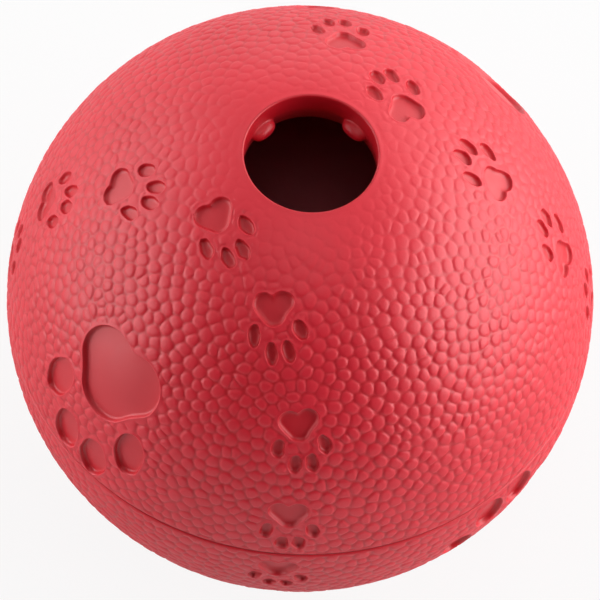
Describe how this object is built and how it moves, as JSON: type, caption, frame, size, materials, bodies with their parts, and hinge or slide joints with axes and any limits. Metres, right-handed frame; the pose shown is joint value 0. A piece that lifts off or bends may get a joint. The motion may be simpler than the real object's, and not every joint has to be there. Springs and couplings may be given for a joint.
{
  "type": "treat dispensing ball",
  "caption": "Hollow pebbled rubber ball with pressed paw prints and one round mouth, narrowed by flexing nubs, that lets treats out of an inner labyrinth.",
  "frame": {"origin": "centre of the ball", "axes": "+Z out of the mouth along its axis, -Y towards the front, +X to the right"},
  "size_m": [0.09, 0.09, 0.0889],
  "materials": {
    "red_rubber": "satin, moulded with pebbles",
    "cured_cement": "smooth",
    "labyrinth_rubber": "satin"
  },
  "bodies": {
    "ball": {"upper_half_shell": "red_rubber", "lower_half_shell": "red_rubber", "seam_bond": "cured_cement", "baffle_plate": "labyrinth_rubber", "divider_long": "labyrinth_rubber", "divider_cross": "labyrinth_rubber"},
    "mouth_nub_front_right": {"mouth_nub_front_right": "red_rubber"},
    "mouth_nub_rear_right": {"mouth_nub_rear_right": "red_rubber"},
    "mouth_nub_rear_left": {"mouth_nub_rear_left": "red_rubber"},
    "mouth_nub_front_left": {"mouth_nub_front_left": "red_rubber"}
  },
  "joints": [
    {"name": "mouth_nub_front_right_flex", "type": "hinge", "parent": "ball", "child": "mouth_nub_front_right", "pos_m": [0.00785, -0.00659, 0.03907], "axis": [0.6428, 0.766, 0], "range_deg": [-20, 20], "stiffness_Nm_per_rad": 0.03},
    {"name": "mouth_nub_rear_right_flex", "type": "hinge", "parent": "ball", "child": "mouth_nub_rear_right", "pos_m": [0.00659, 0.00785, 0.03907], "axis": [-0.766, 0.6428, 0], "range_deg": [-20, 20], "stiffness_Nm_per_rad": 0.03},
    {"name": "mouth_nub_rear_left_flex", "type": "hinge", "parent": "ball", "child": "mouth_nub_rear_left", "pos_m": [-0.00785, 0.00659, 0.03907], "axis": [-0.6428, -0.766, 0], "range_deg": [-20, 20], "stiffness_Nm_per_rad": 0.03},
    {"name": "mouth_nub_front_left_flex", "type": "hinge", "parent": "ball", "child": "mouth_nub_front_left", "pos_m": [-0.00659, -0.00785, 0.03907], "axis": [0.766, -0.6428, 0], "range_deg": [-20, 20], "stiffness_Nm_per_rad": 0.03}
  ]
}
